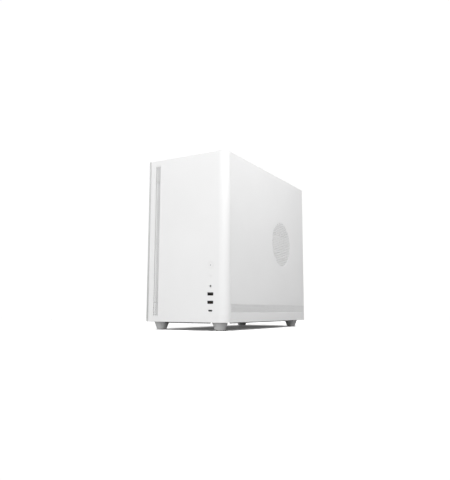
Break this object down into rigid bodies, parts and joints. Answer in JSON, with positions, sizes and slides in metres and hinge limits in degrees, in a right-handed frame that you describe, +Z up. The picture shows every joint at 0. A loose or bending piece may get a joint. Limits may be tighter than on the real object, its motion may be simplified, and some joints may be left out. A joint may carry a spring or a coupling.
{
  "type": "desktop computer tower",
  "caption": "White compact desktop computer tower with solid front, narrow vent strip, a column of button and sockets, glass left side, round side vent and cone feet.",
  "frame": {"origin": "floor level under the middle of the case, at the centre of the bounding box in X and Y", "axes": "+Z up, front face at -Y, +X to the right when facing the front, so the glass side is at -X"},
  "size_m": [0.2, 0.431, 0.376],
  "materials": {
    "case_white": "fine satin powder coat",
    "white_plastic": "fine texture",
    "grey_plastic": "fine texture",
    "black_plastic": "fine texture",
    "black_steel": "satin powder coat",
    "glass": "polished, light grey tint",
    "bare_steel": "fine brushed",
    "chrome": "polished",
    "aluminium": "fine satin",
    "copper_plate": "nickel plated",
    "pcb_black": "solder mask over glass fibre",
    "lens": "clear smoked",
    "white_cable": "woven sleeve",
    "black_cable": "woven sleeve",
    "zinc": "zinc plated",
    "filter_mesh": "fine woven mesh in a moulded frame"
  },
  "bodies": {
    "chassis": {"bottom_pan": "case_white", "rear_panel": "case_white", "front_frame": "case_white", "motherboard_tray": "case_white", "top_panel": "case_white", "psu_shroud": "case_white", "feet": "grey_plastic", "front_io_board": "pcb_black", "audio_jack": "white_plastic", "usb_a_ports": "bare_steel", "usb_c_port": "bare_steel", "psu_housing": "black_steel", "psu_inlet": "black_plastic", "motherboard_pcb": "pcb_black", "cpu_socket": "bare_steel", "dimm_slots": "black_plastic", "memory_modules": "aluminium", "vrm_heatsinks": "aluminium", "chipset_heatsink": "aluminium", "pcie_slots": "black_plastic", "rear_io_ports": "bare_steel", "board_power_sockets": "black_plastic", "cooler_base": "copper_plate", "cooler_fins": "aluminium", "cpu_fan_frame": "white_plastic", "gpu_board": "pcb_black", "gpu_heatsink": "aluminium", "gpu_shroud": "white_plastic", "rear_fan_frame": "white_plastic", "front_fan_frames": "white_plastic", "slot_covers": "case_white", "solid_state_drive": "aluminium", "cable_board_power": "white_cable", "cable_gpu_power": "white_cable", "cable_front_leads": "black_cable", "case_screws": "zinc"},
    "front_panel": {"front_panel": "case_white", "front_vent_mesh": "case_white"},
    "power_button": {"power_button": "white_plastic", "power_led_lens": "lens"},
    "reset_button": {"reset_button": "white_plastic"},
    "glass": {"glass_panel": "glass", "glass_studs": "chrome"},
    "right_panel": {"right_side_panel": "case_white", "side_round_mesh": "case_white", "side_strip_mesh": "case_white"},
    "thumb_upper": {"thumb_screw_upper": "white_plastic"},
    "thumb_lower": {"thumb_screw_lower": "white_plastic"},
    "top_filter": {"top_filter": "filter_mesh"},
    "bottom_filter": {"bottom_filter": "filter_mesh"},
    "cpu_fan": {"cpu_fan_rotor": "white_plastic"},
    "rear_fan": {"rear_fan_rotor": "white_plastic"},
    "front_fan_lower": {"front_fan_rotor_lower": "white_plastic"},
    "front_fan_upper": {"front_fan_rotor_upper": "white_plastic"},
    "gpu_fan_a": {"gpu_fan_rotor_a": "white_plastic"},
    "gpu_fan_b": {"gpu_fan_rotor_b": "white_plastic"},
    "psu_fan": {"psu_fan_rotor": "black_plastic"},
    "rocker": {"psu_switch": "black_plastic"},
    "latch_a": {"dimm_latch_a": "black_plastic"},
    "latch_b": {"dimm_latch_b": "black_plastic"}
  },
  "joints": [
    {"name": "front_panel_pull", "type": "slide", "parent": "chassis", "child": "front_panel", "axis": [0, -1, 0], "range_m": [0, 0.06]},
    {"name": "power_press", "type": "slide", "parent": "front_panel", "child": "power_button", "axis": [0, 1, 0], "range_m": [0, 0.0015], "stiffness_N_per_m": 300, "springref_m": -0.0005},
    {"name": "reset_press", "type": "slide", "parent": "front_panel", "child": "reset_button", "axis": [0, 1, 0], "range_m": [0, 0.001], "stiffness_N_per_m": 300, "springref_m": -0.0005},
    {"name": "glass_pull", "type": "slide", "parent": "chassis", "child": "glass", "axis": [-1, 0, 0], "range_m": [0, 0.06]},
    {"name": "right_panel_slide", "type": "slide", "parent": "chassis", "child": "right_panel", "axis": [0, 1, 0], "range_m": [0, 0.022]},
    {"name": "thumb_upper_turn", "type": "hinge", "parent": "right_panel", "child": "thumb_upper", "pos_m": [0.0895, 0.2075, 0.335], "axis": [0, 1, 0], "continuous": true},
    {"name": "thumb_lower_turn", "type": "hinge", "parent": "right_panel", "child": "thumb_lower", "pos_m": [0.0895, 0.2075, 0.06], "axis": [0, 1, 0], "continuous": true},
    {"name": "top_filter_lift", "type": "slide", "parent": "chassis", "child": "top_filter", "axis": [0, 0, 1], "range_m": [0, 0.05]},
    {"name": "bottom_filter_slide", "type": "slide", "parent": "chassis", "child": "bottom_filter", "axis": [0, 1, 0], "range_m": [0, 0.15]},
    {"name": "cpu_fan_spin", "type": "hinge", "parent": "chassis", "child": "cpu_fan", "pos_m": [-0.023, 0.05, 0.292], "axis": [0, 1, 0], "continuous": true},
    {"name": "rear_fan_spin", "type": "hinge", "parent": "chassis", "child": "rear_fan", "pos_m": [-0.033, 0.1815, 0.3], "axis": [0, 1, 0], "continuous": true},
    {"name": "front_fan_lower_spin", "type": "hinge", "parent": "chassis", "child": "front_fan_lower", "pos_m": [-0.025, -0.19, 0.182], "axis": [0, 1, 0], "continuous": true},
    {"name": "front_fan_upper_spin", "type": "hinge", "parent": "chassis", "child": "front_fan_upper", "pos_m": [-0.025, -0.19, 0.304], "axis": [0, 1, 0], "continuous": true},
    {"name": "gpu_fan_a_spin", "type": "hinge", "parent": "chassis", "child": "gpu_fan_a", "pos_m": [0.0045, 0.027, 0.155], "axis": [0, 0, 1], "continuous": true},
    {"name": "gpu_fan_b_spin", "type": "hinge", "parent": "chassis", "child": "gpu_fan_b", "pos_m": [0.0045, 0.137, 0.155], "axis": [0, 0, 1], "continuous": true},
    {"name": "psu_fan_spin", "type": "hinge", "parent": "chassis", "child": "psu_fan", "pos_m": [0, 0.136, 0.03], "axis": [0, 0, 1], "continuous": true},
    {"name": "rocker_tip", "type": "hinge", "parent": "chassis", "child": "rocker", "pos_m": [0.008, 0.2025, 0.066], "axis": [1, 0, 0], "range_deg": [-14, 0]},
    {"name": "latch_a_tip", "type": "hinge", "parent": "chassis", "child": "latch_a", "pos_m": [0.068, 0.0225, 0.3535], "axis": [0, 1, 0], "range_deg": [0, 25]},
    {"name": "latch_b_tip", "type": "hinge", "parent": "chassis", "child": "latch_b", "pos_m": [0.068, 0.032, 0.3535], "axis": [0, 1, 0], "range_deg": [0, 25]}
  ]
}
